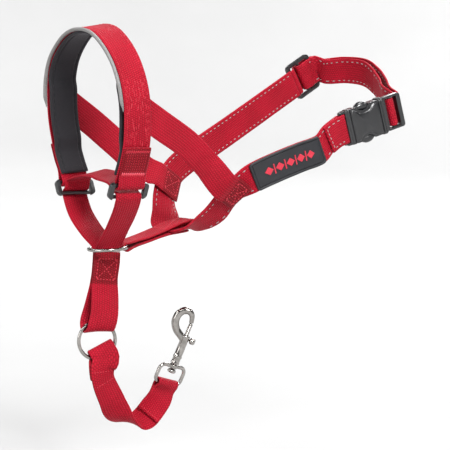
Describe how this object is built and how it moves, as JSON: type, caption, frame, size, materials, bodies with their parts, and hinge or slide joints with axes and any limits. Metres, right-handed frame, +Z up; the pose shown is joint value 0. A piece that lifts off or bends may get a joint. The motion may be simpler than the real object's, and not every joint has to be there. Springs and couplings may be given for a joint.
{
  "type": "head halter",
  "caption": "Head halter for a dog: lined noseband tightened by a line under the jaw, cheek straps, adjustable neck strap with side-release buckle, and a safety link with a bolt snap.",
  "frame": {"origin": "the top of the muzzle seat: the lining's inner face at the middle of the noseband, where the halter rests on the dog's muzzle", "axes": "+Z up, the dog's nose points along -Y, the dog's left side is +X"},
  "size_m": [0.1003, 0.2668, 0.2688],
  "materials": {
    "webbing": "woven red polyester webbing, satin sheen",
    "lining": "matt black knitted neoprene",
    "piping": "grey reflective piping",
    "black_plastic": "satin moulded acetal",
    "patch_rubber": "moulded soft rubber",
    "nickel": "bright nickel plate"
  },
  "bodies": {
    "halter": {"noseband_webbing": "webbing", "noseband_lining": "lining", "noseband_piping": "piping", "slide_line": "webbing", "chin_connector": "webbing", "cheek_strap_near": "webbing", "cheek_strap_far": "webbing", "neck_strap_near": "webbing", "neck_strap_far": "webbing", "label_patch": "patch_rubber", "adjuster_loop": "webbing", "buckle_female": "black_plastic"},
    "nose_loop_near": {"nose_loop_near": "black_plastic"},
    "nose_loop_far": {"nose_loop_far": "black_plastic"},
    "chin_ring": {"chin_ring": "nickel"},
    "control_loop": {"control_loop": "webbing"},
    "lead_ring": {"lead_ring": "nickel"},
    "link": {"link_strap": "webbing"},
    "snap_eye": {"snap_eye": "nickel", "snap_post": "nickel"},
    "snap": {"snap_body": "nickel", "snap_spring": "nickel"},
    "snap_bolt": {"snap_bolt": "nickel", "snap_knob": "nickel"},
    "neck_slider": {"neck_slider": "black_plastic"},
    "buckle_male": {"buckle_male": "black_plastic"},
    "buckle_prong_upper": {"buckle_prong_upper": "black_plastic"},
    "buckle_prong_lower": {"buckle_prong_lower": "black_plastic"}
  },
  "joints": [
    {"name": "nose_loop_near_tilt", "type": "hinge", "parent": "halter", "child": "nose_loop_near", "pos_m": [0.034, 0.004, -0.0985], "axis": [0, 1, 0], "range_deg": [-3, 5]},
    {"name": "nose_loop_far_tilt", "type": "hinge", "parent": "halter", "child": "nose_loop_far", "pos_m": [-0.0342, 0.0025, -0.0985], "axis": [0, 1, 0], "range_deg": [-5, 2.5]},
    {"name": "chin_ring_tilt", "type": "hinge", "parent": "halter", "child": "chin_ring", "pos_m": [0, 0.021, -0.1407], "axis": [1, 0, 0], "range_deg": [0, 7]},
    {"name": "control_swing", "type": "hinge", "parent": "halter", "child": "control_loop", "pos_m": [0, 0.0073, -0.1442], "axis": [0.0995, 0.995, 0], "range_deg": [-20, 20]},
    {"name": "lead_ring_swing", "type": "hinge", "parent": "control_loop", "child": "lead_ring", "pos_m": [0, -0.0005, -0.1976], "axis": [0.27, 0.9629, 0], "range_deg": [-18, 18]},
    {"name": "link_swing", "type": "hinge", "parent": "lead_ring", "child": "link", "pos_m": [0.00108, 0.00337, -0.21081], "axis": [0.2449, 0.8725, 0.4228], "range_deg": [-8, 8]},
    {"name": "snap_eye_pivot", "type": "hinge", "parent": "link", "child": "snap_eye", "pos_m": [0.0053, 0.05076, -0.23548], "axis": [-0.127, 0.949, -0.2887], "range_deg": [-20, 20]},
    {"name": "snap_swivel", "type": "hinge", "parent": "snap_eye", "child": "snap", "pos_m": [0.0086, 0.0553, -0.222], "axis": [0.226, 0.311, 0.9231], "continuous": true},
    {"name": "snap_bolt_slide", "type": "slide", "parent": "snap", "child": "snap_bolt", "axis": [-0.226, -0.311, -0.9231], "range_m": [0, 0.005], "stiffness_N_per_m": 300, "springref_m": -0.003, "deforming": ["snap_spring"]},
    {"name": "neck_slider_travel", "type": "slide", "parent": "halter", "child": "neck_slider", "axis": [0, -0.8667, -0.4988], "range_m": [0, 0.02], "deforming": ["adjuster_loop"]},
    {"name": "buckle_release", "type": "slide", "parent": "halter", "child": "buckle_male", "axis": [0.1199, 0.9495, 0.2899], "range_m": [0, 0.028], "deforming": ["adjuster_loop", "buckle_prong_upper", "buckle_prong_lower"]},
    {"name": "prong_upper_press", "type": "hinge", "parent": "buckle_male", "child": "buckle_prong_upper", "pos_m": [0.04038, 0.21183, -0.04487], "axis": [-0.9928, 0.1147, 0.035], "range_deg": [0, 7], "stiffness_Nm_per_rad": 0.4, "springref_deg": -1.72},
    {"name": "prong_lower_press", "type": "hinge", "parent": "buckle_male", "child": "buckle_prong_lower", "pos_m": [0.04038, 0.21686, -0.06132], "axis": [0.9928, -0.1147, -0.035], "range_deg": [0, 7], "stiffness_Nm_per_rad": 0.4, "springref_deg": -1.72}
  ]
}
